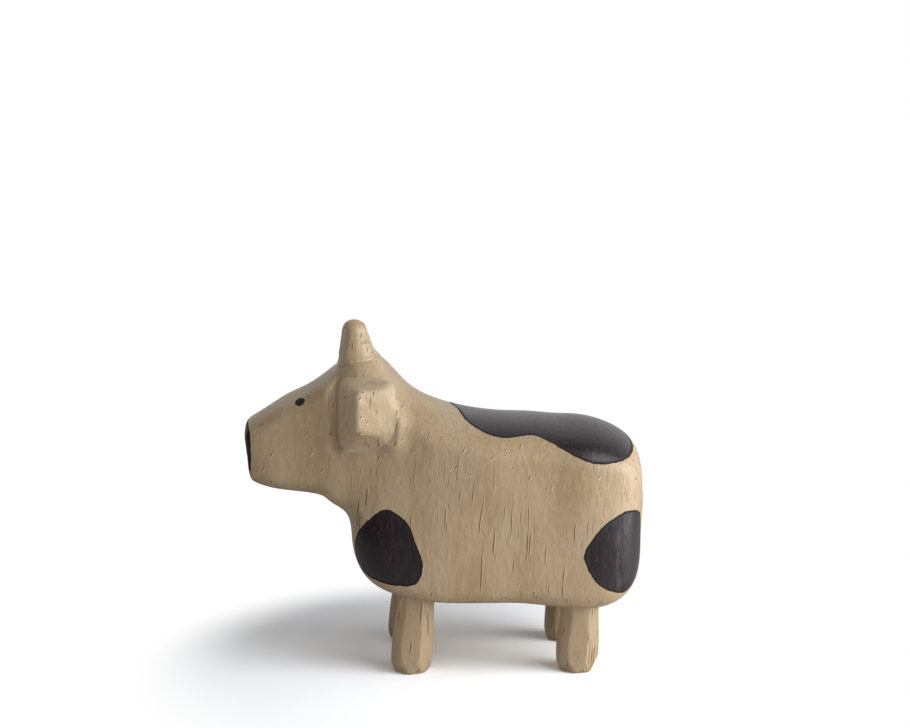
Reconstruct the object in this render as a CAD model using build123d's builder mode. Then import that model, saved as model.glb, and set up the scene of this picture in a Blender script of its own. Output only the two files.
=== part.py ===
"""Carved wooden cow ornament: one carved body with glued-in legs, horns and ears.

Units are millimetres. The head points to -X, +Z is up, the soles stand on Z = 0 and the
origin is the middle of the footprint. Left and right are the animal's own: left is -Y.
"""

import os
from dataclasses import dataclass
from math import cos, radians, sin

from build123d import *

os.makedirs("parts", exist_ok=True)

# Main sizes: the carved block, and how far the legs lift its lowest line off the floor.
body_length = 88.0
flank_width = 40.0
leg_clearance = 14.2

# Body. Setbacks are behind the tip of the nose. Heights are above the lowest line of the block.
muzzle_depth = 15.1
nose_width = 19.4
nose_rake = 1.4
nose_round = 2.6
chin_height = 25.3
chin_round = 1.6
bridge_setback = 8.8
bridge_height = 44.5
bridge_width = 22.2
brow_setback = 17.2
brow_height = 49.3
brow_width = 24.8
jaw_height = 23.2
poll_setback = 25.6
poll_height = 54.4
poll_width = 27.0
throat_setback = 19.7
throat_height = 21.6
crest_setback = 30.3
crest_height = 52.4
crest_width = 28.6
gullet_setback = 22.1
gullet_height = 19.8
nape_setback = 35.0
nape_height = 47.6
nape_width = 30.6
chest_setback = 23.5
chest_height = 16.4
neck_setback = 40.6
neck_height = 44.1
neck_width = 33.6
breast_setback = 24.1
breast_height = 11.8
withers_setback = 46.6
withers_height = 42.2
withers_width = 36.8
brisket_setback = 26.9
brisket_height = 6.0
shoulder_setback = 53.0
shoulder_height = 41.2
shoulder_width = 39.0
belly_setback = 35.7
belly_slope_rise = 2.2
croup_height = 39.7
rump_length = 13.0
rump_top_round = 14.0
rump_side_round = 10.6
rump_under_round = 10.0
rump_tuck = 1.6
crown_arch_share = 0.5
jaw_edge = 3.0
chest_edge = 7.0
belly_edge = 3.6

# Legs: whittled eight-sided pegs, each with a round tenon in a drilled socket.
front_leg_setback = 37.8
hind_leg_inset = 15.0
leg_side_inset = 7.5
leg_sides = 8
leg_top_width = 7.8
leg_knee_width = 9.0
leg_knee_height = 5.5
leg_foot_width = 8.2
leg_sole_bevel = 0.5
front_leg_lean = 1.4
right_front_leg_lead = 1.3
hind_leg_lean = 0.9
leg_seat_depth = 0.8
leg_tenon_diameter = 5.0
leg_tenon_length = 9.0

# Horns: tapered round pegs let into drilled holes in the poll.
horn_root_diameter = 7.8
horn_tip_diameter = 5.6
horn_root_depth = 5.8
horn_reach = 6.9
horn_setback = 25.3
horn_spread = 15.0
right_horn_lead = 0.8
horn_forward_lean = 6.0
horn_outward_lean = 4.0

# Ears: blunt wedges let into shallow housings in the sides of the head. The outer face
# turns back, so each ear stands out most along its front edge.
ear_reach = 3.2
ear_let_in = 1.2
ear_root_length = 12.4
ear_root_height = 14.6
ear_tip_length = 8.0
ear_tip_height = 9.0
ear_tip_turn = 36.0
ear_root_corner = 2.2
ear_tip_corner = 1.6
ear_tip_bevel = 0.5
ear_setback = 27.5
ear_below_poll = 13.6
ear_sweep = 2.4
ear_rise = 0.9

# Room left for glue at every tenon, peg and housing wall.
glue_gap = 0.1

nose_x = -body_length / 2
rump_x = body_length / 2
poll_z = leg_clearance + poll_height
chin_z = leg_clearance + chin_height
jaw_z = leg_clearance + jaw_height
belly_front_z = leg_clearance + belly_slope_rise
leg_y = flank_width / 2 - leg_side_inset


@dataclass
class Slice:
    """One cross-section of the body, in the plane through a keel point and a crown point."""

    crown_x: float
    crown_z: float
    keel_x: float
    keel_z: float
    width: float
    edge: float

    def rise(self) -> Vector:
        """Step from the keel point up to the crown point."""
        return Vector(self.crown_x - self.keel_x, 0, self.crown_z - self.keel_z)

    def plane(self) -> Plane:
        """Plane on the keel point, with its Y direction up to the crown."""
        across = Vector(0, 1, 0)
        return Plane((self.keel_x, 0, self.keel_z), x_dir=across, z_dir=across.cross(self.rise()))

    def side_x(self, height: float) -> float:
        """X where the slice crosses a height above the floor."""
        share = (height - self.keel_z) / (self.crown_z - self.keel_z)
        return self.keel_x + share * (self.crown_x - self.keel_x)


def slice_sketch(cut: Slice) -> Sketch:
    """Flat underside, rounded lower edges, upright sides and an arched crown."""
    height = cut.rise().length
    side = cut.width / 2
    arch = crown_arch_share * side
    with BuildSketch(cut.plane()) as section:
        with BuildLine():
            under = Line((cut.edge - side, 0), (side - cut.edge, 0))
            right_edge = TangentArc(under @ 1, (side, cut.edge), tangent=under % 1)
            Line(right_edge @ 1, (side, height - arch))
            EllipticalCenterArc((0, height - arch), side, arch, arc_size=180)
            left_side = Line((-side, height - arch), (-side, cut.edge))
            TangentArc(left_side @ 1, under @ 0, tangent=left_side % 1)
        make_face()
    return section.sketch


def nose_slice(angle: float) -> Slice:
    """Slice at an angle round the nose: 90 is the flat tip and 0 the end of the rounding."""
    back = nose_round * (1 - sin(radians(angle)))
    fall = 1 - cos(radians(angle))
    return Slice(
        nose_x + back,
        chin_z + muzzle_depth - nose_round * fall,
        nose_x + nose_rake + back,
        chin_z + chin_round * fall,
        nose_width - 2 * nose_round * fall,
        jaw_edge,
    )


def rump_slice(angle: float) -> Slice:
    """Slice at an angle round the rump: 0 is the start of the rounding and 90 the flat end."""
    turn = sin(radians(angle))
    fall = 1 - cos(radians(angle))
    x = rump_x - rump_length * (1 - turn)
    return Slice(
        x,
        leg_clearance + croup_height - rump_top_round * fall,
        x - rump_tuck * turn,
        leg_clearance + rump_under_round * fall,
        flank_width - 2 * rump_side_round * fall,
        belly_edge,
    )


def middle_slice(front: Slice, rear: Slice) -> Slice:
    """Slice half-way between two others."""
    return Slice(
        (front.crown_x + rear.crown_x) / 2,
        (front.crown_z + rear.crown_z) / 2,
        (front.keel_x + rear.keel_x) / 2,
        (front.keel_z + rear.keel_z) / 2,
        (front.width + rear.width) / 2,
        (front.edge + rear.edge) / 2,
    )


bridge = Slice(
    nose_x + bridge_setback,
    leg_clearance + bridge_height,
    nose_x + bridge_setback,
    (chin_z + jaw_z) / 2,
    bridge_width,
    jaw_edge,
)
brow = Slice(
    nose_x + brow_setback,
    leg_clearance + brow_height,
    nose_x + brow_setback,
    jaw_z,
    brow_width,
    jaw_edge,
)
poll = Slice(
    nose_x + poll_setback,
    poll_z,
    nose_x + throat_setback,
    leg_clearance + throat_height,
    poll_width,
    jaw_edge,
)
crest = Slice(
    nose_x + crest_setback,
    leg_clearance + crest_height,
    nose_x + gullet_setback,
    leg_clearance + gullet_height,
    crest_width,
    (jaw_edge + chest_edge) / 2,
)
nape = Slice(
    nose_x + nape_setback,
    leg_clearance + nape_height,
    nose_x + chest_setback,
    leg_clearance + chest_height,
    nape_width,
    chest_edge,
)
neck = Slice(
    nose_x + neck_setback,
    leg_clearance + neck_height,
    nose_x + breast_setback,
    leg_clearance + breast_height,
    neck_width,
    chest_edge,
)
withers = Slice(
    nose_x + withers_setback,
    leg_clearance + withers_height,
    nose_x + brisket_setback,
    leg_clearance + brisket_height,
    withers_width,
    chest_edge,
)
shoulder = Slice(
    nose_x + shoulder_setback,
    leg_clearance + shoulder_height,
    nose_x + belly_setback,
    belly_front_z,
    shoulder_width,
    belly_edge,
)
loin = rump_slice(0)
ribs = middle_slice(shoulder, loin)
haunch = middle_slice(ribs, loin)
slices = [
    nose_slice(90),
    nose_slice(50),
    nose_slice(15),
    bridge,
    brow,
    poll,
    crest,
    nape,
    neck,
    withers,
    shoulder,
    ribs,
    haunch,
    loin,
    rump_slice(35),
    rump_slice(62),
    rump_slice(90),
]


@dataclass
class LegPlace:
    """Where one leg stands: its socket axis and how far its foot is set forward."""

    name: str
    x: float
    y: float
    lean: float

    def belly_z(self) -> float:
        """Height of the belly above the floor at the socket."""
        share = (self.x - shoulder.keel_x) / (loin.keel_x - shoulder.keel_x)
        return belly_front_z - share * belly_slope_rise

    def seat_z(self) -> float:
        """Height of the flat seat that the shoulder of the leg meets."""
        return self.belly_z() + leg_seat_depth


front_leg_x = nose_x + front_leg_setback
hind_leg_x = rump_x - hind_leg_inset
leg_places = [
    LegPlace("front_left_leg", front_leg_x, -leg_y, front_leg_lean),
    LegPlace(
        "front_right_leg", front_leg_x - right_front_leg_lead, leg_y, front_leg_lean
    ),
    LegPlace("hind_left_leg", hind_leg_x, -leg_y, hind_leg_lean),
    LegPlace("hind_right_leg", hind_leg_x, leg_y, hind_leg_lean),
]
leg_top_radius = leg_top_width / 2 / cos(radians(180 / leg_sides))


def horn_plane(side: int) -> Plane:
    """Plane on the foot of a horn, with Z along the horn; side is -1 left, 1 right."""
    axis = Vector(
        -sin(radians(horn_forward_lean)), side * sin(radians(horn_outward_lean)), 1
    )
    lead = right_horn_lead if side > 0 else 0
    foot_x = nose_x + horn_setback - lead
    foot = (foot_x, side * horn_spread / 2, poll_z - horn_root_depth)
    return Plane(foot, x_dir=(1, 0, 0), z_dir=axis)


def ear_plane(side: int) -> Plane:
    """Plane on the floor of an ear housing, parallel to the cheek, with Z outward.

    Its Y points up on the left side and down on the right side.
    """
    ear_x = nose_x + ear_setback
    ear_z = poll_z - ear_below_poll
    cheek_run = neck.side_x(ear_z) - poll.side_x(ear_z)
    cheek_flare = (neck.width - poll.width) / 2 / cheek_run
    cheek_y = poll.width / 2 + cheek_flare * (ear_x - poll.side_x(ear_z))
    origin = (ear_x, side * (cheek_y - ear_let_in), ear_z)
    return Plane(origin, x_dir=(1, side * cheek_flare, 0), z_dir=(-cheek_flare, side, 0))


sides = {"left": -1, "right": 1}

with BuildPart() as body:
    loft([slice_sketch(cut) for cut in slices])
    for place in leg_places:
        with Locations(Plane((place.x, place.y, place.belly_z()), z_dir=(0, 0, -1))):
            CounterBoreHole(
                radius=leg_tenon_diameter / 2 + glue_gap,
                counter_bore_radius=leg_top_radius + glue_gap,
                counter_bore_depth=leg_seat_depth,
                depth=leg_seat_depth + leg_tenon_length + glue_gap,
            )
    for side in sides.values():
        with BuildSketch(horn_plane(side)):
            Circle(horn_root_diameter / 2 + glue_gap)
        extrude(amount=horn_root_depth + horn_reach, mode=Mode.SUBTRACT)
        with BuildSketch(ear_plane(side)):
            RectangleRounded(
                ear_root_length + 2 * glue_gap,
                ear_root_height + 2 * glue_gap,
                ear_root_corner + glue_gap,
            )
        extrude(amount=ear_let_in + ear_reach, mode=Mode.SUBTRACT)
body.part.label = "body"
export_step(body.part, "parts/body.step")

for place in leg_places:
    with BuildPart() as leg:
        stations = [
            (0, leg_foot_width),
            (leg_knee_height, leg_knee_width),
            (place.belly_z(), leg_top_width),
            (place.seat_z(), leg_top_width),
        ]
        for height, width in stations:
            forward = place.lean * (1 - height / place.seat_z())
            with BuildSketch(Plane((place.x - forward, place.y, height))):
                RegularPolygon(width / 2, leg_sides, major_radius=False, rotation=180 / leg_sides)
        loft()
        chamfer(leg.faces().sort_by(Axis.Z)[0].edges(), leg_sole_bevel)
        with BuildSketch(Plane((place.x, place.y, place.seat_z()))):
            Circle(leg_tenon_diameter / 2)
        extrude(amount=leg_tenon_length)
    leg.part.label = place.name
    export_step(leg.part, f"parts/{place.name}.step")

for side_name, side in sides.items():
    root_radius = horn_root_diameter / 2
    tip_radius = horn_tip_diameter / 2
    horn_length = horn_root_depth + horn_reach
    plane = horn_plane(side)
    with BuildPart() as horn:
        with BuildSketch(Plane(plane.origin, x_dir=plane.x_dir, z_dir=-plane.y_dir)):
            with BuildLine():
                foot = Line((0, 0), (root_radius, 0))
                root = Line(foot @ 1, (root_radius, horn_root_depth))
                taper = Line(root @ 1, (tip_radius, horn_length - tip_radius))
                tip = CenterArc((0, horn_length - tip_radius), tip_radius, 0, 90)
                Line(tip @ 1, foot @ 0)
            make_face()
        revolve(axis=Axis(plane.origin, plane.z_dir))
    horn.part.label = f"{side_name}_horn"
    export_step(horn.part, f"parts/{side_name}_horn.step")

for side_name, side in sides.items():
    plane = ear_plane(side)
    with BuildPart() as ear:
        with BuildSketch(plane):
            RectangleRounded(ear_root_length, ear_root_height, ear_root_corner)
        extrude(amount=ear_let_in)
        with BuildSketch(plane.offset(ear_let_in)):
            RectangleRounded(ear_root_length, ear_root_height, ear_root_corner)
        tip_place = Location((ear_sweep, -side * ear_rise, ear_let_in + ear_reach), (0, ear_tip_turn, 0))
        with BuildSketch(plane * tip_place):
            RectangleRounded(ear_tip_length, ear_tip_height, ear_tip_corner)
        loft()
        tip_face = ear.faces().sort_by(Axis(plane.origin, plane.z_dir))[-1]
        chamfer(tip_face.edges(), ear_tip_bevel)
    ear.part.label = f"{side_name}_ear"
    export_step(ear.part, f"parts/{side_name}_ear.step")
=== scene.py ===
"""Looks of a carved wooden cow ornament: dressed pieces, paint, wood, floor, light and camera.

Lengths in the dataclasses are millimetres in the shared frame. The scene itself is in metres.
The head points to -X and the animal's left side to -Y.
"""

import logging
import math
from dataclasses import dataclass, field
from enum import Enum

import bmesh
import bpy
import numpy as np
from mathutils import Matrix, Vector, noise
from mathutils.bvhtree import BVHTree


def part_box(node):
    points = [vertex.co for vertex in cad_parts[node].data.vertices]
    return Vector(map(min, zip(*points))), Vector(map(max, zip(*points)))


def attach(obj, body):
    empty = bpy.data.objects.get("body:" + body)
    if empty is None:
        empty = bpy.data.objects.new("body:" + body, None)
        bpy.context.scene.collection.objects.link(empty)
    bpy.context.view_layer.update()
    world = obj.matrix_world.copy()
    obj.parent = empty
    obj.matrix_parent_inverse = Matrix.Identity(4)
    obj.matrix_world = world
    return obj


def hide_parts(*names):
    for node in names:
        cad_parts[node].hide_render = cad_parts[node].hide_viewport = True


logging.basicConfig(level=logging.INFO, format="%(message)s")
log = logging.getLogger("cow")

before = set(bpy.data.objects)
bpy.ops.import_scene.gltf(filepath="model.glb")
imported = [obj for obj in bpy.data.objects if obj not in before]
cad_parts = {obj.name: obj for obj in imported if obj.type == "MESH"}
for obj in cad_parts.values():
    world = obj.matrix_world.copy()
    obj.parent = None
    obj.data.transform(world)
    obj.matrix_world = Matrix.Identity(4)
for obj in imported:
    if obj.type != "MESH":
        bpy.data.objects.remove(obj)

MM = 0.001
WHITE = (1.0, 1.0, 1.0, 1.0)
# Stands for the distance to a patch on the other side of the body.
FAR = 99.0
# A height above all pieces.
NOWHERE = 1000.0

Point = tuple[float, float]
Spot = tuple[float, float, float]
Colour = tuple[float, float, float, float]
Tree = bpy.types.NodeTree
Socket = bpy.types.NodeSocket
Value = Socket | float | Spot | Colour
# A colour, a roughness or a share of pore, and a relief in millimetres.
Looks = tuple[Socket, Socket, Socket]

# Settings that many nodes share: a soft threshold, and a mix of colours in place of numbers.
SMOOTH = {"interpolation_type": "SMOOTHSTEP"}
COLOURS = {"data_type": "RGBA"}


class Side(Enum):
    """The animal's own left and right, as the sign of Y."""

    LEFT = -1
    RIGHT = 1


class Wrap(Enum):
    """How the flat outline of a paint patch lies on the body."""

    SIDE = "seen square from the side"
    CORNER = "rolled round an upright corner"
    BACK = "rolled over the back"


def linear(colour: str) -> Colour:
    """Turns a hex sRGB colour into linear RGBA."""
    parts = [int(colour[i : i + 2], 16) / 255 for i in (1, 3, 5)]
    red, green, blue = [p / 12.92 if p <= 0.04045 else ((p + 0.055) / 1.055) ** 2.4 for p in parts]
    return (red, green, blue, 1.0)


def add_node(
    tree: Tree,
    kind: str,
    inputs: dict[int | str, Value] | list[Value] | None = None,
    **settings: str,
) -> bpy.types.NodeOutputs:
    """Adds one shader node to a tree.

    Args:
        tree: Node tree that takes the node.
        kind: Type of the node, without the leading ShaderNode.
        inputs: A constant or another node's output for each socket, by name or place, or in order.
        settings: Properties set on the node itself.

    Returns:
        The outputs of the new node.
    """
    node = tree.nodes.new(f"ShaderNode{kind}")
    for name, value in settings.items():
        setattr(node, name, value)
    rows = inputs.items() if isinstance(inputs, dict) else enumerate(inputs or [])
    for key, value in rows:
        if isinstance(value, Socket):
            tree.links.new(value, node.inputs[key])
        else:
            node.inputs[key].default_value = value
    return node.outputs


@dataclass(frozen=True)
class GrainPattern:
    """A pattern drawn out along the grain: its pitch across it and its stretch along it."""

    pitch: float
    stretch: float

    def space(self, tree: Tree, grain: Socket, shift: float = 0.0) -> Socket:
        """Scales the grain so that one cell of the pattern is one unit.

        Args:
            tree: Node tree of the material.
            grain: Coordinates along the grain, in millimetres.
            shift: How far the pattern moves across the grain, in millimetres.

        Returns:
            The scaled coordinates.
        """
        scale = (1 / self.pitch, 1 / self.pitch, 1 / (self.pitch * self.stretch))
        moved = (shift / self.pitch, 0.0, 0.0)
        return add_node(tree, "Mapping", {"Vector": grain, "Scale": scale, "Location": moved})[0]


@dataclass(frozen=True)
class Streaks(GrainPattern):
    """Uneven streaks: detail is how fine they get, edges the levels between which they show."""

    detail: float
    edges: Point = (0.0, 1.0)

    def draw(self, tree: Tree, grain: Socket) -> Socket:
        """The streaks as an output between 0 and 1."""
        drawn = self.space(tree, grain)
        return add_node(tree, "TexNoise", {"Vector": drawn, "Scale": 1.0, "Detail": self.detail})[0]

    def show(self, tree: Tree, drawn: Socket) -> Socket:
        """Where drawn streaks show, from 0 at the first edge to 1 at the second."""
        return add_node(tree, "MapRange", [drawn, *self.edges], **SMOOTH)[0]


@dataclass(frozen=True)
class Hollows(GrainPattern):
    """Small hollows, each with a light lip on one side.

    radius is the widest one as a share of the pitch, share how many of the cells hold one, rim the
    softness of its edge and lip_highlight_shift how far off the lip lies. The light lip is a painted
    highlight on the side of each hollow that faces the light.
    """

    radius: float
    share: float = 0.75
    rim: float = 0.13
    lip_highlight_shift: float = 0.24

    def cut(self, tree: Tree, grain: Socket, where: Value) -> tuple[Socket, Socket]:
        """Cuts the hollows.

        Args:
            tree: Node tree of the material.
            grain: Coordinates along the grain, in millimetres.
            where: How strongly they show.

        Returns:
            One output that is 1 inside a hollow, and one that is 1 at its lip, where a highlight is painted.
        """
        part = self.radius / self.share
        found = []
        # The shifted copy finds the lip, where a highlight is painted.
        for shift in (0.0, -self.lip_highlight_shift):
            cells = add_node(
                tree, "TexVoronoi", {"Vector": self.space(tree, grain, shift), "Scale": 1.0}
            )
            lot = add_node(tree, "SeparateColor", [cells["Color"]])[0]
            bore = add_node(tree, "Math", [lot, part, self.radius - part], operation="MULTIPLY_ADD")[0]
            depth = add_node(tree, "Math", [bore, cells["Distance"]], operation="SUBTRACT")[0]
            inside = add_node(tree, "MapRange", [depth, 0.0, self.rim], **SMOOTH)[0]
            found.append(add_node(tree, "Math", [inside, where], operation="MULTIPLY")[0])
        return found[0], found[1]


@dataclass(frozen=True)
class PaintFinish:
    """Thin brushed satin paint, nearly black with a plum cast.

    The eye sees a dark, slightly uneven skin with paler specks where it lies thin, a paler line
    painted in as a highlight down the rump corner, and a darker matt line where the brush drew the
    outline. The eyes are the same paint laid on thick.
    """

    coat: str = "#190C12"
    worn_and_highlight: str = "#23141C"
    # Paler tone of the real specks where the paint lies thin, and of the painted highlight down the rump
    # corner.
    pale_speck_and_highlight: str = "#564B53"
    rim: str = "#0D0709"
    eye: str = "#170C05"
    brush: Streaks = Streaks(0.6, 4.0, 4.0, (0.42, 0.72))
    specks: Streaks = Streaks(0.45, 1.8, 2.0, (0.66, 0.76))
    speck_share: float = 0.6
    # How far the brushing lets the painted highlight line show.
    highlight_edges: Point = (0.3, 0.6)
    ragged: Streaks = Streaks(1.1, 1.3, 2.0)
    edge_wander: float = 0.2
    edge_blur: float = 0.07
    rim_edges: Point = (-0.8, -0.24)
    rim_share: float = 0.8
    eye_edges: Point = (0.15, -0.25)
    eye_depth: float = 0.05
    roughness: float = 0.33
    brush_roughness: float = 0.3
    thick_roughness: float = 0.85
    relief_left: float = 0.3
    thickness: float = 0.04
    brush_height: float = 0.05

    def cover(self, tree: Tree, grain: Socket, wood: Looks) -> Looks:
        """Lays the paint over the wood where the body's paint distance is below zero.

        Args:
            tree: Node tree of the material.
            grain: Coordinates along the grain, in millimetres.
            wood: Colour, roughness and relief of the bare wood.

        Returns:
            Colour, roughness and relief of the wood with its paint.
        """
        # The third attribute marks the painted highlight line down the rump corner.
        away, eye, rub = [
            add_node(tree, "Attribute", attribute_name=name)["Fac"] for name in ("paint", "eye", "rub")
        ]
        wander = add_node(
            tree,
            "Math",
            [self.ragged.draw(tree, grain), 2 * self.edge_wander, -self.edge_wander],
            operation="MULTIPLY_ADD",
        )[0]
        away = add_node(tree, "Math", [away, wander], operation="ADD")[0]
        bare = add_node(tree, "MapRange", [away, -self.edge_blur, self.edge_blur], **SMOOTH)[0]
        outline = add_node(tree, "MapRange", [away, *self.rim_edges], **SMOOTH)[0]
        pupil = add_node(tree, "MapRange", [eye, *self.eye_edges], **SMOOTH)[0]
        brushed = self.brush.draw(tree, grain)
        specks = self.specks.show(tree, self.specks.draw(tree, grain))
        specks = add_node(tree, "Math", [specks, self.speck_share], operation="MULTIPLY")[0]
        # Painted highlight along the marked line, broken up by the brushing, joined with the real pale
        # specks.
        specks_and_highlight = add_node(tree, "MapRange", [brushed, *self.highlight_edges], **SMOOTH)[0]
        specks_and_highlight = add_node(tree, "Math", [rub, specks_and_highlight], operation="MULTIPLY")[0]
        specks_and_highlight = add_node(tree, "Math", [specks_and_highlight, specks], operation="MAXIMUM")[0]
        dark = add_node(tree, "Math", [outline, self.rim_share], operation="MULTIPLY")[0]
        coat = linear(self.coat)
        layers = (
            (self.brush.show(tree, brushed), self.worn_and_highlight),
            (specks_and_highlight, self.pale_speck_and_highlight),
            (dark, self.rim),
            (pupil, self.eye),
        )
        for share, tone in layers:
            coat = add_node(tree, "Mix", {0: share, 6: coat, 7: linear(tone)}, **COLOURS)[2]
        film = add_node(
            tree,
            "Math",
            [brushed, self.brush_roughness, self.roughness - self.brush_roughness / 2],
            operation="MULTIPLY_ADD",
        )[0]
        thick = add_node(tree, "Math", [outline, pupil], operation="MAXIMUM")[0]
        film = add_node(tree, "Mix", {0: thick, 2: film, 3: self.thick_roughness})[0]
        colour, rough, relief = wood
        skin = add_node(
            tree, "Math", [relief, self.relief_left, self.thickness], operation="MULTIPLY_ADD"
        )[0]
        for bumps, rise in ((brushed, self.brush_height), (pupil, -self.eye_depth)):
            skin = add_node(tree, "Math", [bumps, rise, skin], operation="MULTIPLY_ADD")[0]
        colour = add_node(tree, "Mix", {0: bare, 6: coat, 7: colour}, **COLOURS)[2]
        rough = add_node(tree, "Mix", {0: bare, 2: film, 3: rough})[0]
        relief = add_node(tree, "Mix", {0: bare, 2: skin, 3: relief})[0]
        return colour, rough, relief


@dataclass(frozen=True)
class WoodFinish:
    """Pale straight-grained hardwood, knife-finished and sealed to a satin.

    The eye sees a warm cream ground in faint upright bands, short dark vessel lines along the
    grain that turn to specks on end-grain, slanting pits where the knife tore the grain, each vessel
    and pit with a painted highlight on its lip, and a soft sheen broken by the carving. The fibres of
    such wood are too fine to show, so they are drawn half a millimetre apart.
    """

    name: str
    offset: Spot = (0.0, 0.0, 0.0)
    ground: str = "#AE987A"
    band: str = "#A08866"
    pale: str = "#B9A588"
    pore: str = "#6B4A27"
    # Painted highlight on the lip of each vessel and pit.
    lip_highlight: str = "#E2CEAC"
    grain_tilt: float = 3.5
    sway_rate: Spot = (0.09, 0.09, 0.05)
    sway: Spot = (2.4, 2.4, 0.0)
    vessels: Hollows = Hollows(0.54, 30.0, 0.4)
    fine_vessels: Hollows = Hollows(0.27, 30.0, 0.4)
    fine_share: float = 0.2
    pits: Hollows = Hollows(0.76, 4.2, 0.3)
    pit_slant: float = 0.5
    breaks: Streaks = Streaks(3.0, 2.5, 3.0, (0.36, 0.48))
    torn: Streaks = Streaks(5.0, 1.0, 2.0, (0.38, 0.5))
    torn_from: float = 0.2
    torn_fade: float = 0.2
    torn_until: Point = (0.85, 0.65)
    torn_height: float = 37.5
    torn_rise: float = 5.0
    torn_thinning: float = 0.55
    bands: Streaks = Streaks(7.0, 3.0, 2.0, (0.3, 0.75))
    fibre: Streaks = Streaks(0.5, 22.0, 3.0, (0.4, 0.8))
    fibre_light: float = 0.2
    fibre_height: float = 0.03
    mottle: Streaks = Streaks(1.3, 1.8, 3.0, (0.45, 0.75))
    mottle_light: float = 0.35
    mottle_height: float = 0.2
    # How strongly the painted highlight shows on the vessel lips, and on all lips.
    vessel_lip_highlight: float = 0.45
    lip_highlight_share: float = 0.8
    pore_share: float = 0.8
    pore_depth: float = 0.14
    pore_roughness: float = 0.18
    roughness: float = 0.43
    gloss: float = 0.48
    paint: PaintFinish | None = None

    def material(self) -> bpy.types.Material:
        """Builds the node material.

        Returns:
            The material, with the paint on it where the finish has one.
        """
        material = bpy.data.materials.new(self.name)
        material.use_nodes = True
        tree = material.node_tree
        tree.nodes.clear()
        grain = self.grain_space(tree)
        colour, pores, relief = self.wood(tree, grain)
        rough = add_node(
            tree, "Math", [pores, self.pore_roughness, self.roughness], operation="MULTIPLY_ADD"
        )[0]
        if self.paint:
            colour, rough, relief = self.paint.cover(tree, grain, (colour, rough, relief))
        bump = add_node(tree, "Bump", {"Strength": 1.0, "Distance": MM, "Height": relief})[0]
        shader = add_node(
            tree,
            "BsdfPrincipled",
            {
                "Base Color": colour,
                "Roughness": rough,
                "Specular IOR Level": self.gloss,
                "Normal": bump,
            },
        )[0]
        add_node(tree, "OutputMaterial", {"Surface": shader})
        return material

    def grain_space(self, tree: Tree) -> Socket:
        """Turns the piece's coordinates along the grain.

        Args:
            tree: Node tree of the material.

        Returns:
            Coordinates in millimetres with Z along the grain, wandering a little.
        """
        place = add_node(tree, "TexCoord")["Object"]
        turned = add_node(
            tree,
            "Mapping",
            {
                "Vector": place,
                "Location": self.offset,
                "Rotation": (0.0, -math.radians(self.grain_tilt), 0.0),
                "Scale": (1 / MM, 1 / MM, 1 / MM),
            },
        )[0]
        slow = add_node(tree, "Mapping", {"Vector": turned, "Scale": self.sway_rate})[0]
        wave = add_node(tree, "TexNoise", {"Vector": slow, "Scale": 1.0, "Detail": 2.0})["Color"]
        wave = add_node(tree, "VectorMath", [wave, (0.5, 0.5, 0.5)], operation="SUBTRACT")[0]
        shift = add_node(tree, "VectorMath", [wave, self.sway], operation="MULTIPLY")[0]
        return add_node(tree, "VectorMath", [turned, shift], operation="ADD")[0]

    def tears(self, tree: Tree, grain: Socket, high: Socket) -> Socket:
        """Finds where the knife tore the grain.

        Args:
            tree: Node tree of the material.
            grain: Coordinates along the grain, in millimetres.
            high: Output that is 1 in the high places that tore whatever their slope.

        Returns:
            An output that is 1 in patches of these, and of slopes that face partly up.
        """
        normal = add_node(tree, "NewGeometry")["Normal"]
        up = add_node(tree, "SeparateXYZ", [normal])["Z"]
        whole = self.torn_from + self.torn_fade
        slope = add_node(tree, "MapRange", [up, self.torn_from, whole], **SMOOTH)[0]
        steep = add_node(tree, "MapRange", [up, *self.torn_until], **SMOOTH)[0]
        slope = add_node(tree, "Math", [slope, steep], operation="MULTIPLY")[0]
        patches = self.torn.show(tree, self.torn.draw(tree, grain))
        slope = add_node(tree, "Math", [slope, high], operation="MAXIMUM")[0]
        return add_node(tree, "Math", [slope, patches], operation="MULTIPLY")[0]

    def pores(self, tree: Tree, grain: Socket) -> tuple[Socket, Socket]:
        """Cuts the vessels and the torn pits.

        Args:
            tree: Node tree of the material.
            grain: Coordinates along the grain, in millimetres.

        Returns:
            How far each place is pore, and how far it is the lip of one, which gets a painted highlight.
        """
        height = add_node(tree, "SeparateXYZ", [grain])["Z"]
        whole = self.torn_height + self.torn_rise
        high = add_node(tree, "MapRange", [height, self.torn_height, whole], **SMOOTH)[0]
        left = add_node(tree, "Math", [high, -self.torn_thinning, 1.0], operation="MULTIPLY_ADD")[0]
        broken = self.breaks.show(tree, self.breaks.draw(tree, grain))
        broken = add_node(tree, "Math", [broken, left], operation="MULTIPLY")[0]
        slant = add_node(
            tree, "Mapping", {"Vector": grain, "Rotation": (0.0, -self.pit_slant, 0.0)}
        )[0]
        bold, lip_highlight = self.vessels.cut(tree, grain, broken)
        fine, _ = self.fine_vessels.cut(tree, grain, self.fine_share)
        pits, pit_highlight = self.pits.cut(tree, slant, self.tears(tree, grain, high))
        bold = add_node(tree, "Math", [bold, pits], operation="MAXIMUM")[0]
        # Painted highlight on the lips of the vessels and the torn pits.
        lip_highlight = add_node(tree, "Math", [lip_highlight, self.vessel_lip_highlight], operation="MULTIPLY")[0]
        lip_highlight = add_node(tree, "Math", [lip_highlight, pit_highlight], operation="MAXIMUM")[0]
        pores = add_node(tree, "Math", [fine, bold], operation="ADD")[0]
        pores = add_node(tree, "Math", [pores, 1.0], operation="MINIMUM")[0]
        return pores, lip_highlight

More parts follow.
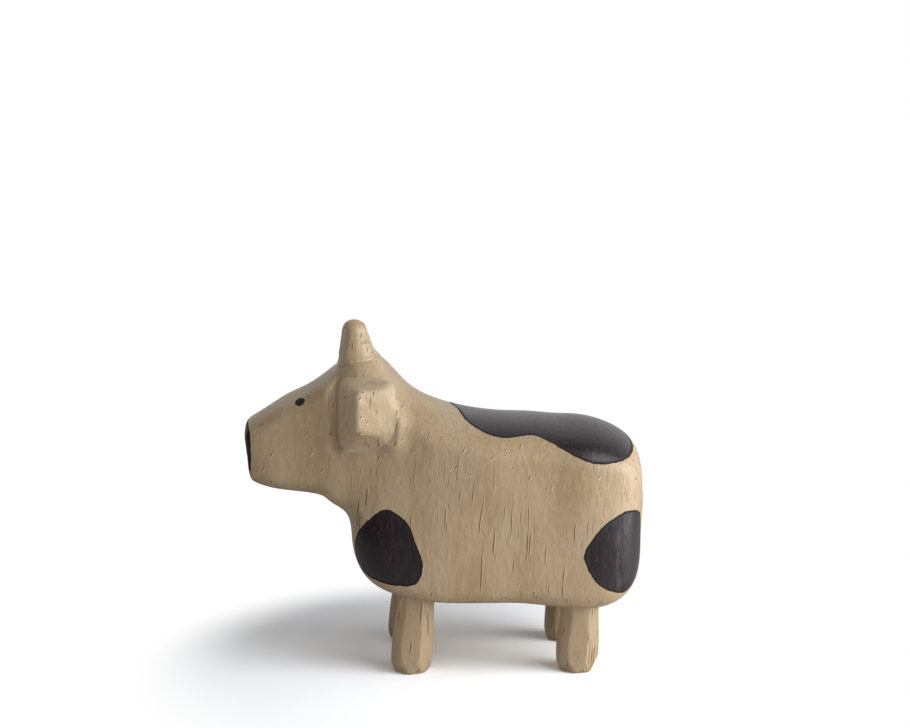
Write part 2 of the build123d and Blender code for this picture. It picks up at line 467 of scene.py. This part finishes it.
    def wood(self, tree: Tree, grain: Socket) -> Looks:
        """Colours the bare wood.

        Args:
            tree: Node tree of the material.
            grain: Coordinates along the grain, in millimetres.

        Returns:
            Colour, share of pore and relief.
        """
        bands = self.bands.show(tree, self.bands.draw(tree, grain))
        fibre = self.fibre.draw(tree, grain)
        mottle = self.mottle.draw(tree, grain)
        pores, lip_highlight = self.pores(tree, grain)
        light = add_node(
            tree, "Math", [self.fibre.show(tree, fibre), self.fibre_light], operation="MULTIPLY"
        )[0]
        light = add_node(
            tree,
            "Math",
            [self.mottle.show(tree, mottle), self.mottle_light, light],
            operation="MULTIPLY_ADD",
        )[0]
        # The lips get a painted highlight.
        lip_highlight = add_node(tree, "Math", [lip_highlight, self.lip_highlight_share], operation="MULTIPLY")[0]
        dark = add_node(tree, "Math", [pores, self.pore_share], operation="MULTIPLY")[0]
        colour = linear(self.ground)
        layers = ((bands, self.band), (light, self.pale), (lip_highlight, self.lip_highlight), (dark, self.pore))
        for share, tone in layers:
            colour = add_node(tree, "Mix", {0: share, 6: colour, 7: linear(tone)}, **COLOURS)[2]
        relief = add_node(tree, "Math", [pores, -self.pore_depth], operation="MULTIPLY")[0]
        for bumps, rise in ((fibre, self.fibre_height), (mottle, self.mottle_height)):
            relief = add_node(tree, "Math", [bumps, rise, relief], operation="MULTIPLY_ADD")[0]
        return colour, pores, relief


@dataclass(frozen=True)
class Cut:
    """One knife stroke across a peg: a plane that trims what lies beyond it.

    angle is round the peg from +X, reach the distance from its axis at height, and tilt the
    lean of the stroke, in degrees.
    """

    angle: float
    reach: float
    height: float
    tilt: float

    def pare(self, mesh: bmesh.types.BMesh, x: float, y: float) -> None:
        """Trims a peg and closes the cut.

        Args:
            mesh: The peg.
            x: Place of its axis along X.
            y: Place of its axis along Y.
        """
        turn, lean = math.radians(self.angle), math.radians(self.tilt)
        out = Vector((math.cos(turn), math.sin(turn), 0.0))
        point = (Vector((x, y, self.height)) + out * self.reach) * MM
        normal = out * math.cos(lean) + Vector((0.0, 0.0, math.sin(lean)))
        geometry = mesh.verts[:] + mesh.edges[:] + mesh.faces[:]
        result = bmesh.ops.bisect_plane(
            mesh, geom=geometry, plane_co=point, plane_no=normal, clear_outer=True
        )
        rim = [e for e in result["geom_cut"] if isinstance(e, bmesh.types.BMEdge)]
        bmesh.ops.holes_fill(mesh, edges=rim, sides=0)


@dataclass
class CarvedPiece:
    """A piece dressed from its CAD node: fine even mesh, softened edges and hand-carved waver.

    voxel is the size of its faces, relax the number of softening passes, waver the height of the
    unevenness, waver_pitch its spacing and weld the distance under which the node's points join.
    """

    node: str
    finish: bpy.types.Material
    voxel: float
    relax: int
    waver: float
    waver_pitch: float
    cuts: list[Cut] = field(default_factory=list)
    weld: float = 0.002

    def build(self) -> bpy.types.Object:
        """Makes the piece and puts it in place of its CAD node.

        Returns:
            The object of the piece.
        """
        mesh = self.fine_mesh(self.rough_out())
        self.carve(mesh)
        mesh.shade_smooth()
        mesh.materials.append(self.finish)
        piece = bpy.data.objects.new(f"{self.node}_carved", mesh)
        bpy.context.scene.collection.objects.link(piece)
        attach(piece, "root")
        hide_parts(self.node)
        log.info("%s: %d faces", piece.name, len(mesh.polygons))
        return piece

    def rough_out(self) -> bmesh.types.BMesh:
        """Copies the CAD node, joins its triangles and makes the knife strokes.

        Returns:
            The trimmed copy.
        """
        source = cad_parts[self.node]
        mesh = bmesh.new()
        mesh.from_mesh(source.data)
        mesh.transform(source.matrix_world)
        bmesh.ops.remove_doubles(mesh, verts=mesh.verts, dist=self.weld * MM)
        low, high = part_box(self.node)
        x, y = (low[0] + high[0]) / 2 / MM, (low[1] + high[1]) / 2 / MM
        for cut in self.cuts:
            cut.pare(mesh, x, y)
        return mesh

    def fine_mesh(self, rough: bmesh.types.BMesh) -> bpy.types.Mesh:
        """Evens a mesh out to small faces and softens its edges.

        Args:
            rough: The trimmed copy, which is freed.

        Returns:
            The mesh of the piece.
        """
        data = bpy.data.meshes.new("blank")
        rough.to_mesh(data)
        rough.free()
        blank = bpy.data.objects.new("blank", data)
        bpy.context.scene.collection.objects.link(blank)
        remesh = blank.modifiers.new("remesh", "REMESH")
        remesh.mode = "VOXEL"
        remesh.voxel_size = self.voxel * MM
        smooth = blank.modifiers.new("soften", "SMOOTH")
        smooth.factor = 0.5
        smooth.iterations = self.relax
        ready = blank.evaluated_get(bpy.context.evaluated_depsgraph_get())
        mesh = bpy.data.meshes.new_from_object(ready)
        bpy.data.objects.remove(blank)
        bpy.data.meshes.remove(data)
        mesh.name = f"{self.node}_carved"
        return mesh

    def carve(self, mesh: bpy.types.Mesh) -> None:
        """Gives the surface the slow unevenness of handwork.

        Args:
            mesh: The mesh of the piece.
        """
        places, normals = self.surface(mesh)
        # The length of its name gives a piece its own place in the noise.
        seed = Vector((len(self.node) * 7.3, 1.7, 4.1))
        swing = [noise.noise(Vector(p) / self.waver_pitch + seed) for p in places]
        self.move(mesh, places + normals * (self.waver * np.array(swing))[:, None])

    def surface(self, mesh: bpy.types.Mesh) -> tuple[np.ndarray, np.ndarray]:
        """Reads the surface of a mesh.

        Args:
            mesh: The mesh of the piece.

        Returns:
            Vertex places in millimetres, and unit normals.
        """
        places = np.empty(len(mesh.vertices) * 3)
        mesh.vertices.foreach_get("co", places)
        normals = np.empty(len(mesh.vertices) * 3, dtype=np.float32)
        mesh.vertex_normals.foreach_get("vector", normals)
        return places.reshape(-1, 3) / MM, normals.reshape(-1, 3)

    def move(self, mesh: bpy.types.Mesh, places: np.ndarray) -> None:
        """Sets the vertex places, given in millimetres."""
        mesh.vertices.foreach_set("co", (places * MM).ravel())
        mesh.update()


@dataclass
class Peg(CarvedPiece):
    """A carved piece let into the body, with a small flare where its root was pared to the body.

    flare is how far the root spreads, and flare_reach how far above the host's skin it starts to.
    """

    host: bpy.types.Object | None = None
    flare: float = 0.5
    flare_reach: float = 1.6

    def carve(self, mesh: bpy.types.Mesh) -> None:
        """Adds the unevenness, then the flare.

        Args:
            mesh: The mesh of the piece.
        """
        super().carve(mesh)
        places, normals = self.surface(mesh)
        skin = surface_tree(self.host.data)
        moved = places.copy()
        for i, place in enumerate(places):
            spot, normal = Vector(place) * MM, Vector(normals[i])
            foot, up, _, gap = skin.find_nearest(spot)
            outside = (spot - foot).dot(up) > 0
            height = gap / MM if outside else 0.0
            if height < self.flare_reach:
                level = normal - normal.dot(up) * up
                moved[i] += np.array(level) * self.flare * (1 - height / self.flare_reach) ** 2
        self.move(mesh, moved)


def surface_tree(mesh: bpy.types.Mesh) -> BVHTree:
    """A search tree of a mesh's surface, in metres."""
    spots = [v.co for v in mesh.vertices]
    return BVHTree.FromPolygons(spots, [p.vertices for p in mesh.polygons])


def line_distance(places: np.ndarray, start: Spot, end: Spot) -> np.ndarray:
    """Measures how far places are from a straight line.

    Args:
        places: Places, one to a row.
        start: Where the line starts.
        end: Where it ends.

    Returns:
        The distance of each place.
    """
    first, run = np.array(start), np.array(end) - np.array(start)
    share = np.clip((places - first) @ run / (run @ run), 0.0, 1.0)
    return np.linalg.norm(places - first - share[:, None] * run, axis=1)


def closed_curve(points: list[Point], steps: int = 10) -> np.ndarray:
    """Draws a smooth closed curve.

    Args:
        points: Points that the curve passes through.
        steps: Number of points from each of these to the next.

    Returns:
        The points of the curve, one to a row.
    """
    knots = np.array(points)
    before, after = np.roll(knots, 1, axis=0), np.roll(knots, -1, axis=0)
    later = np.roll(knots, -2, axis=0)
    rows = []
    for t in np.arange(steps) / steps:
        rows.append(
            0.5
            * (
                2 * knots
                + (after - before) * t
                + (2 * before - 5 * knots + 4 * after - later) * t**2
                + (3 * knots - before - 3 * after + later) * t**3
            )
        )
    return np.stack(rows, axis=1).reshape(-1, 2)


def outline_distance(flat: np.ndarray, outline: np.ndarray) -> np.ndarray:
    """Measures how far flat points are from a closed outline.

    Args:
        flat: Points, one to a row.
        outline: Points of the outline, one to a row.

    Returns:
        The distance of each point, below zero inside.
    """
    nearest = np.full(len(flat), np.inf)
    inside = np.zeros(len(flat), dtype=bool)
    for start, end in zip(outline, np.roll(outline, -1, axis=0)):
        run, to = end - start, flat - start
        share = np.clip((to @ run) / (run @ run), 0.0, 1.0)
        nearest = np.minimum(nearest, np.linalg.norm(to - share[:, None] * run, axis=1))
        spans = (start[1] > flat[:, 1]) != (end[1] > flat[:, 1])
        rise = run[1] if run[1] else 1e-9
        inside ^= spans & (to[:, 0] < run[0] * to[:, 1] / rise)
    return np.where(inside, -nearest, nearest)


def oval(
    centre: Point, half_width: float, half_height: float, tilt: float, count: int = 8
) -> list[Point]:
    """Sets points round a tilted oval.

    Args:
        centre: Middle of the oval.
        half_width: Half of its long side.
        half_height: Half of its short side.
        tilt: Turn of the long side, in degrees.
        count: Number of points.

    Returns:
        The points in order.
    """
    points = []
    lean = math.radians(tilt)
    for k in range(count):
        turn = math.tau * k / count
        u, v = half_width * math.cos(turn), half_height * math.sin(turn)
        points.append(
            (
                centre[0] + u * math.cos(lean) - v * math.sin(lean),
                centre[1] + u * math.sin(lean) + v * math.cos(lean),
            )
        )
    return points


@dataclass(frozen=True)
class PaintPatch:
    """One painted patch: a flat outline and how it lies on the body.

    For a CORNER the outline runs along the arc of the given radius about an upright axis at
    x, y, and up. For the BACK it runs along X and round an axis along X at height y.
    """

    wrap: Wrap
    outline: list[Point]
    side: Side = Side.LEFT
    axis: Point = (0.0, 0.0)
    radius: float = 1.0

    def distance(self, places: np.ndarray) -> np.ndarray:
        """Measures how far places are from the edge of the patch.

        Args:
            places: Places on the body, one to a row.

        Returns:
            The distance of each place, below zero in the paint.
        """
        x, y, z = places.T
        hand = self.side.value
        away = y * hand < 0
        across = x
        up = z
        if self.wrap is Wrap.CORNER:
            across = self.radius * np.arctan2(x - self.axis[0], hand * y - self.axis[1])
        elif self.wrap is Wrap.BACK:
            up = self.radius * np.arctan2(y, z - self.axis[1])
            away = z < self.axis[1]
        flat = np.stack([across, up], axis=1)
        return np.where(away, FAR, outline_distance(flat, closed_curve(self.outline)))


@dataclass(frozen=True)
class Swell:
    """A soft rise or hollow of the body beside a piece let into it, along a line from start to end.

    It is whole up to radius from the line, and fades out over the length of fade.
    """

    start: Spot
    end: Spot
    radius: float
    fade: float
    lift: Spot

    def offset(self, places: np.ndarray) -> np.ndarray:
        """Works out how far the swell moves places.

        Args:
            places: Places on the body, one to a row.

        Returns:
            The movement of each place.
        """
        away = line_distance(places, self.start, self.end)
        near = np.clip(1 - (away - self.radius) / self.fade, 0.0, 1.0)
        return (near**2)[:, None] * np.array(self.lift)


@dataclass
class Body(CarvedPiece):
    """The carved trunk and head, with its painted patches, nose and eyes.

    let_in names the pieces that fill its sockets, whose walls lie within socket_gap of them. Along
    its highlight lines a paler highlight is painted into the paint. The nose is painted back to
    nose_reach, less above and below its middle. The rump is scraped smooth behind rump_start, round
    its middle height.
    """

    let_in: list[str] = field(default_factory=list)
    patches: list[PaintPatch] = field(default_factory=list)
    eyes: list[PaintPatch] = field(default_factory=list)
    swells: list[Swell] = field(default_factory=list)
    # Lines along which a highlight is painted into the paint, and how wide it is.
    highlight_lines: list[tuple[Spot, Spot]] = field(default_factory=list)
    highlight_width: float = 0.8
    socket_gap: float = 0.5
    nose_reach: float = 1.95
    nose_middle: float = 46.6
    nose_half_height: float = 6.3
    nose_curve: float = 1.1
    nose_limit: float = 1.6
    rump_start: float = 41.0
    rump_run: float = 2.0
    rump_middle: float = 33.0
    rump_half_height: float = 13.0
    rump_fade: float = 4.0
    scrapes: int = 90
    scrape_share: float = 0.5

    def rough_out(self) -> bmesh.types.BMesh:
        """Copies the CAD node and closes its sockets over, because the glued pieces fill them.

        Returns:
            The copy without sockets.
        """
        mesh = super().rough_out()
        for name in self.let_in:
            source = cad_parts[name]
            data = source.data.copy()
            data.transform(source.matrix_world)
            peg = surface_tree(data)
            bpy.data.meshes.remove(data)
            reach = self.socket_gap * MM
            near = {v for v in mesh.verts if peg.find_nearest(v.co, reach)[0] is not None}
            walls = [f for f in mesh.faces if near.issuperset(f.verts)]
            walls = [f for f in walls if peg.find_nearest(f.calc_center_median(), reach)[0] is not None]
            bmesh.ops.delete(mesh, geom=walls, context="FACES")
        bmesh.ops.holes_fill(mesh, edges=[e for e in mesh.edges if e.is_boundary], sides=0)
        return mesh

    def carve(self, mesh: bpy.types.Mesh) -> None:
        """Scrapes the rump, raises the horn and ear roots, adds the unevenness and marks the paint.

        Args:
            mesh: The mesh of the body.
        """
        places = self.scrape(mesh)
        for swell in self.swells:
            places = places + swell.offset(places)
        self.move(mesh, places)
        super().carve(mesh)
        places, _ = self.surface(mesh)
        eye = np.minimum.reduce([patch.distance(places) for patch in self.eyes])
        paint = [patch.distance(places) for patch in self.patches]
        paint = np.minimum.reduce([self.nose_distance(places), eye, *paint])
        # Closeness to the painted highlight line, from 1 on it to 0 at its width.
        worn_and_highlight = np.minimum.reduce([line_distance(places, *rub) for rub in self.highlight_lines])
        self.mark(mesh, "paint", paint)
        self.mark(mesh, "eye", eye)
        self.mark(mesh, "rub", np.clip(1 - worn_and_highlight / self.highlight_width, 0.0, 1.0))

    def scrape(self, mesh: bpy.types.Mesh) -> np.ndarray:
        """Scrapes the rump smooth where the end of the block meets its sides.

        Args:
            mesh: The mesh of the body, which isn't changed.

        Returns:
            The new places of its vertices, in millimetres.
        """
        places, _ = self.surface(mesh)
        ends = np.empty(len(mesh.edges) * 2, dtype=np.int32)
        mesh.edges.foreach_get("vertices", ends)
        first, last = ends.reshape(-1, 2).T
        count = len(places)
        edges = np.bincount(ends, minlength=count)
        off = np.abs(places[:, 2] - self.rump_middle)
        share = np.clip((places[:, 0] - self.rump_start) / self.rump_run + 1.0, 0.0, 1.0)
        share *= self.scrape_share * np.clip((self.rump_half_height - off) / self.rump_fade, 0.0, 1.0)
        for _ in range(self.scrapes):
            for axis in places.T:
                total = np.bincount(first, axis[last], count) + np.bincount(last, axis[first], count)
                axis += share * (total / edges - axis)
        return places

    def mark(self, mesh: bpy.types.Mesh, name: str, values: np.ndarray) -> None:
        """Stores one number per vertex for the finish to read."""
        layer = mesh.attributes.new(name, "FLOAT", "POINT")
        layer.data.foreach_set("value", values.astype(np.float32))

    def nose_distance(self, places: np.ndarray) -> np.ndarray:
        """Measures how far places are from the edge of the painted nose, which caps the muzzle.

        Args:
            places: Places on the body, one to a row.

        Returns:
            The distance of each place, below zero in the paint.
        """
        low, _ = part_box(self.node)
        reach = places[:, 0] - low[0] / MM
        off = np.abs(places[:, 2] - self.nose_middle) / self.nose_half_height
        return reach - self.nose_reach + self.nose_curve * np.minimum(off, self.nose_limit) ** 4


@dataclass(frozen=True)
class SoftLight:
    """A soft box; azimuth is from +X towards +Y and strength what it gives square on.

    It is far off unless it has a distance from the middle of the ornament. spread is the angle that
    a far one fills, in degrees, width the size of a near one, and glint says whether it shows in
    the sheen.
    """

    name: str
    azimuth: float
    elevation: float
    strength: float
    distance: float | None = None
    spread: float = 40.0
    width: float = 140.0
    glint: bool = True
    middle: float = 40.0
    far: float = 500.0

    def build(self) -> None:
        """Adds the light to the scene."""
        turn, height = math.radians(self.azimuth), math.radians(self.elevation)
        level = math.cos(height)
        shine = Vector((level * math.cos(turn), level * math.sin(turn), math.sin(height)))
        if self.distance:
            data = bpy.data.lights.new(self.name, "AREA")
            data.shape = "DISK"
            data.size = self.width * MM
            data.energy = (math.pi * self.distance * MM) ** 2 * self.strength
        else:
            data = bpy.data.lights.new(self.name, "SUN")
            data.energy = math.pi * self.strength
            data.angle = math.radians(self.spread)
        lamp = bpy.data.objects.new(self.name, data)
        lamp.location = Vector((0.0, 0.0, self.middle * MM)) + shine * (self.distance or self.far) * MM
        lamp.rotation_euler = (-shine).to_track_quat("-Z", "Y").to_euler()
        lamp.visible_glossy = self.glint
        bpy.context.scene.collection.objects.link(lamp)


@dataclass
class Studio:
    """White floor, soft light from the right and the camera of the photograph.

    sky is the little light that comes from all round, and mirrored how bright the white backdrop
    is in the sheen. paper is the floor as the light finds it, floor_gain and floor_tint how the
    camera sees it, and its shade fades out from shade_reach to shade_end.
    """

    lights: list[SoftLight]
    camera_place: Spot = (-4.67, -266.27, 75.24)
    camera_turn: Spot = (87.88, 0.0, -1.5)
    lens: float = 47.08
    sensor: float = 36.0
    sky: str = "#F4F6FA"
    sky_strength: float = 0.04
    mirrored: float = 0.9
    backdrop: Spot = (0.2, 0.97, 0.15)
    backdrop_edges: Point = (0.1, 0.6)
    paper: str = "#DCDCDC"
    floor_size: float = 4000.0
    floor_gain: float = 1.46
    floor_tint: Spot = (0.98, 1.0, 1.03)
    shade_reach: float = 50.0
    shade_end: float = 80.0
    shade_squeeze: Spot = (1.15, 1.0, 1.0)

    def build(self) -> None:
        """Makes the floor, the lights, the world and the camera."""
        self.floor()
        self.world()
        for light in self.lights:
            light.build()
        self.camera()
        log.info("studio: floor, lights and camera")

    def floor(self) -> None:
        """A wide sheet of matt white paper under the ornament."""
        mesh = bmesh.new()
        bmesh.ops.create_grid(mesh, x_segments=1, y_segments=1, size=self.floor_size * MM)
        data = bpy.data.meshes.new("floor")
        mesh.to_mesh(data)
        mesh.free()
        floor = bpy.data.objects.new("floor", data)
        bpy.context.scene.collection.objects.link(floor)
        data.materials.append(self.paper_finish())

    def paper_finish(self) -> bpy.types.Material:
        """Builds the floor's material, which the camera sees fade to pure white away from the shade.

        Returns:
            The material.
        """
        material = bpy.data.materials.new("matt white paper")
        material.use_nodes = True
        tree = material.node_tree
        tree.nodes.clear()
        seen = add_node(tree, "LightPath")["Is Camera Ray"]
        place = add_node(tree, "TexCoord")["Object"]
        reach = add_node(tree, "VectorMath", [place, self.shade_squeeze], operation="MULTIPLY")[0]
        reach = add_node(tree, "VectorMath", [reach], operation="LENGTH")["Value"]
        clear = add_node(
            tree, "MapRange", [reach, self.shade_reach * MM, self.shade_end * MM], **SMOOTH
        )[0]
        clear = add_node(tree, "Math", [seen, clear], operation="MULTIPLY")[0]
        shown = tuple(self.floor_gain * part for part in self.floor_tint) + (1.0,)
        bright = add_node(tree, "Mix", {0: seen, 6: linear(self.paper), 7: shown}, **COLOURS)[2]
        matt = add_node(tree, "BsdfDiffuse", {"Color": bright})[0]
        white = add_node(tree, "Emission", {"Color": WHITE, "Strength": 1.0})[0]
        both = add_node(tree, "MixShader", [clear, matt, white])[0]
        add_node(tree, "OutputMaterial", {"Surface": both})
        return material

    def world(self) -> None:
        """White behind the object and in its sheen, little light of its own."""
        world = bpy.data.worlds.new("studio")
        bpy.context.scene.world = world
        world.use_nodes = True
        tree = world.node_tree
        tree.nodes.clear()
        path = add_node(tree, "LightPath")
        towards = add_node(tree, "TexCoord")["Generated"]
        behind = add_node(tree, "VectorMath", [towards, self.backdrop], operation="DOT_PRODUCT")["Value"]
        behind = add_node(tree, "MapRange", [behind, *self.backdrop_edges], **SMOOTH)[0]
        sheen = add_node(tree, "Math", [path["Is Glossy Ray"], behind], operation="MULTIPLY")[0]
        seen = add_node(
            tree, "Math", [sheen, self.mirrored, path["Is Camera Ray"]], operation="MULTIPLY_ADD"
        )[0]
        soft = add_node(
            tree, "Background", {"Color": linear(self.sky), "Strength": self.sky_strength}
        )[0]
        white = add_node(tree, "Background", {"Color": WHITE, "Strength": 1.0})[0]
        both = add_node(tree, "MixShader", [seen, soft, white])[0]
        add_node(tree, "OutputWorld", {"Surface": both})

    def camera(self) -> None:
        """The camera that matches the photograph."""
        data = bpy.data.cameras.new("camera")
        data.lens = self.lens
        data.sensor_width = self.sensor
        data.dof.use_dof = False
        camera = bpy.data.objects.new("camera", data)
        camera.location = Vector(self.camera_place) * MM
        camera.rotation_euler = [math.radians(a) for a in self.camera_turn]
        bpy.context.scene.collection.objects.link(camera)
        bpy.context.scene.camera = camera


LEFT_SHOULDER = PaintPatch(
    Wrap.CORNER,
    [
        (-6.8, 35.4),
        (-3.6, 34.6),
        (-0.9, 32.2),
        (0.7, 28.5),
        (2.1, 23.9),
        (0.6, 20.1),
        (-3.7, 19.6),
        (-8.1, 20.2),
        (-12.7, 22.1),
        (-13.5, 27.1),
        (-10.1, 32.5),
    ],
    Side.LEFT,
    axis=(-7.0, 7.0),
    radius=12.5,
)
LEFT_RUMP = PaintPatch(
    Wrap.CORNER,
    [
        (8.8, 35.1),
        (5.4, 34.3),
        (1.3, 31.6),
        (-2.0, 26.8),
        (-1.8, 23.9),
        (1.0, 19.6),
        (5.8, 17.7),
        (9.4, 18.4),
        (12.4, 22.6),
        (14.2, 28.5),
        (12.6, 33.7),
    ],
    Side.LEFT,
    axis=(31.0, 8.5),
    radius=11.5,
)
RIGHT_SHOULDER = PaintPatch(
    Wrap.CORNER,
    [
        (2.0, 33.5),
        (6.0, 31.0),
        (8.5, 26.5),
        (6.5, 21.5),
        (1.5, 19.8),
        (-4.0, 21.0),
        (-8.5, 24.5),
        (-8.0, 29.5),
        (-3.5, 33.0),
    ],
    Side.RIGHT,
    axis=(-7.0, 7.0),
    radius=12.5,
)
RIGHT_RUMP = PaintPatch(
    Wrap.CORNER,
    [
        (7.0, 33.0),
        (2.0, 32.0),
        (-3.0, 28.0),
        (-5.0, 23.5),
        (-2.0, 19.5),
        (3.5, 18.4),
        (8.5, 20.0),
        (11.5, 25.0),
        (10.8, 30.5),
    ],
    Side.RIGHT,
    axis=(31.0, 8.5),
    radius=11.5,
)
BACK = PaintPatch(
    Wrap.BACK,
    [
        (1.2, -1.4),
        (2.6, -5.7),
        (4.1, -12.0),
        (6.8, -15.6),
        (9.9, -17.6),
        (13.2, -18.0),
        (16.5, -17.2),
        (18.8, -17.0),
        (21.7, -18.7),
        (25.0, -21.2),
        (27.9, -22.9),
        (30.8, -23.8),
        (33.8, -23.5),
        (37.0, -22.1),
        (39.4, -19.0),
        (40.8, -12.0),
        (40.2, -3.0),
        (38.5, 6.0),
        (36.0, 13.0),
        (31.0, 18.0),
        (25.0, 19.0),
        (19.0, 16.0),
        (13.0, 17.5),
        (7.0, 15.5),
        (3.0, 9.0),
        (1.2, 3.0),
    ],
    axis=(0.0, 30.0),
    radius=26.0,
)
EYE = oval((-31.3, 57.6), 1.15, 0.78, 22.0)
PATCHES = [LEFT_SHOULDER, LEFT_RUMP, RIGHT_SHOULDER, RIGHT_RUMP, BACK]
EYES = [PaintPatch(Wrap.SIDE, EYE, side) for side in Side]
# The painted highlight down the left rump corner.
HIGHLIGHT_LINES = [((36.5, -19.2, 17.0), (36.0, -19.4, 36.5))]


def root_swells(side: Side) -> list[Swell]:
    """Lists the carved runs of the body up to one horn and one ear, and the hollow in front of them.

    Args:
        side: Side of the head.

    Returns:
        The swells of that side.
    """
    hand = side.value
    return [
        Swell((-18.7, hand * 7.6, 64.0), (-19.0, hand * 7.7, 69.0), 4.2, 2.6, (0.0, 0.0, 0.9)),
        Swell((-18.4, hand * 10.0, 65.0), (-15.5, hand * 13.4, 61.5), 2.6, 2.6, (0.0, hand * 0.5, 0.4)),
        Swell((-11.2, hand * 15.0, 60.5), (-11.2, hand * 15.0, 49.5), 1.6, 3.2, (0.0, hand * 1.0, 0.0)),
        Swell((-23.6, hand * 12.6, 65.0), (-23.4, hand * 13.2, 48.5), 0.5, 2.2, (0.0, -hand * 1.2, 0.0)),
    ]


LEG_CUTS = [
    Cut(262.0, 4.05, 8.0, 3.0),
    Cut(318.0, 4.1, 4.0, -4.0),
    Cut(200.0, 4.1, 9.0, 5.0),
    Cut(20.0, 4.15, 6.0, -3.0),
    Cut(95.0, 4.1, 7.0, 4.0),
    Cut(140.0, 4.2, 5.0, -5.0),
    Cut(345.0, 3.4, 0.8, -24.0),
    Cut(285.0, 3.9, 0.7, -28.0),
    Cut(228.0, 3.9, 0.7, -26.0),
    Cut(170.0, 3.8, 0.7, -26.0),
    Cut(100.0, 3.7, 0.8, -24.0),
    Cut(42.0, 3.8, 0.7, -26.0),
]
HORN_CUTS = [
    Cut(210.0, 3.5, 70.0, 8.0),
    Cut(285.0, 3.5, 71.0, 10.0),
    Cut(340.0, 3.4, 71.0, 9.0),
    Cut(80.0, 3.5, 71.0, 10.0),
]
LIGHTS = [
    SoftLight("low front right", 315.0, 12.0, 0.34),
    SoftLight("front left", 225.0, 20.0, 0.05, glint=False),
    SoftLight("front", 270.0, 22.0, 0.11),
    SoftLight("overhead front", 270.0, 75.0, 0.08, spread=70.0),
    SoftLight("overhead back", 90.0, 75.0, 0.07, spread=70.0, glint=False),
    SoftLight("low back fill", 105.0, 4.0, 0.22, glint=False),
    SoftLight("low left fill", 180.0, 4.0, 0.12, glint=False),
    SoftLight("near right", 345.0, 8.0, 0.65, 230.0),
    SoftLight("near front right", 320.0, 35.0, 0.35, 230.0),
]


def main() -> None:
    """Builds the ornament and its studio."""
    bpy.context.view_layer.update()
    body_wood = WoodFinish("pale hardwood body, satin, brushed dark patches", paint=PaintFinish()).material()
    peg_wood = WoodFinish(
        "pale hardwood pegs, satin", torn_height=NOWHERE, offset=(13.0, 7.0, 31.0)
    ).material()
    # The ears and horns get a paler copy of the body's wood.
    torn_wood = WoodFinish(
        "pale hardwood ears and horns, torn grain",
        ground="#BBA688",
        band="#A8916F",
        pale="#CBB99C",
        torn_from=-0.9,
        torn_height=NOWHERE,
        offset=(5.0, 17.0, 11.0),
    ).material()
    ears = [f"{side.name.lower()}_ear" for side in Side]
    horns = [f"{side.name.lower()}_horn" for side in Side]
    legs = [f"{end}_{side.name.lower()}_leg" for end in ("front", "hind") for side in Side]
    body = Body(
        "body",
        body_wood,
        voxel=0.42,
        relax=6,
        waver=0.22,
        waver_pitch=10.0,
        let_in=ears + horns + legs,
        patches=PATCHES,
        eyes=EYES,
        swells=[swell for side in Side for swell in root_swells(side)],
        highlight_lines=HIGHLIGHT_LINES,
    ).build()
    for name in ears:
        Peg(
            name,
            torn_wood,
            voxel=0.28,
            relax=4,
            waver=0.14,
            waver_pitch=4.0,
            host=body,
            flare=0.9,
        ).build()
    for name in horns:
        Peg(
            name,
            torn_wood,
            voxel=0.24,
            relax=5,
            waver=0.12,
            waver_pitch=4.0,
            cuts=HORN_CUTS,
            host=body,
            flare=0.8,
        ).build()
    for name in legs:
        Peg(
            name,
            peg_wood,
            voxel=0.22,
            relax=12,
            waver=0.1,
            waver_pitch=5.0,
            cuts=LEG_CUTS,
            host=body,
            flare=0.4,
        ).build()
    Studio(LIGHTS).build()
    bpy.context.scene.view_settings.view_transform = "Standard"


if __name__ == "__main__":
    main()
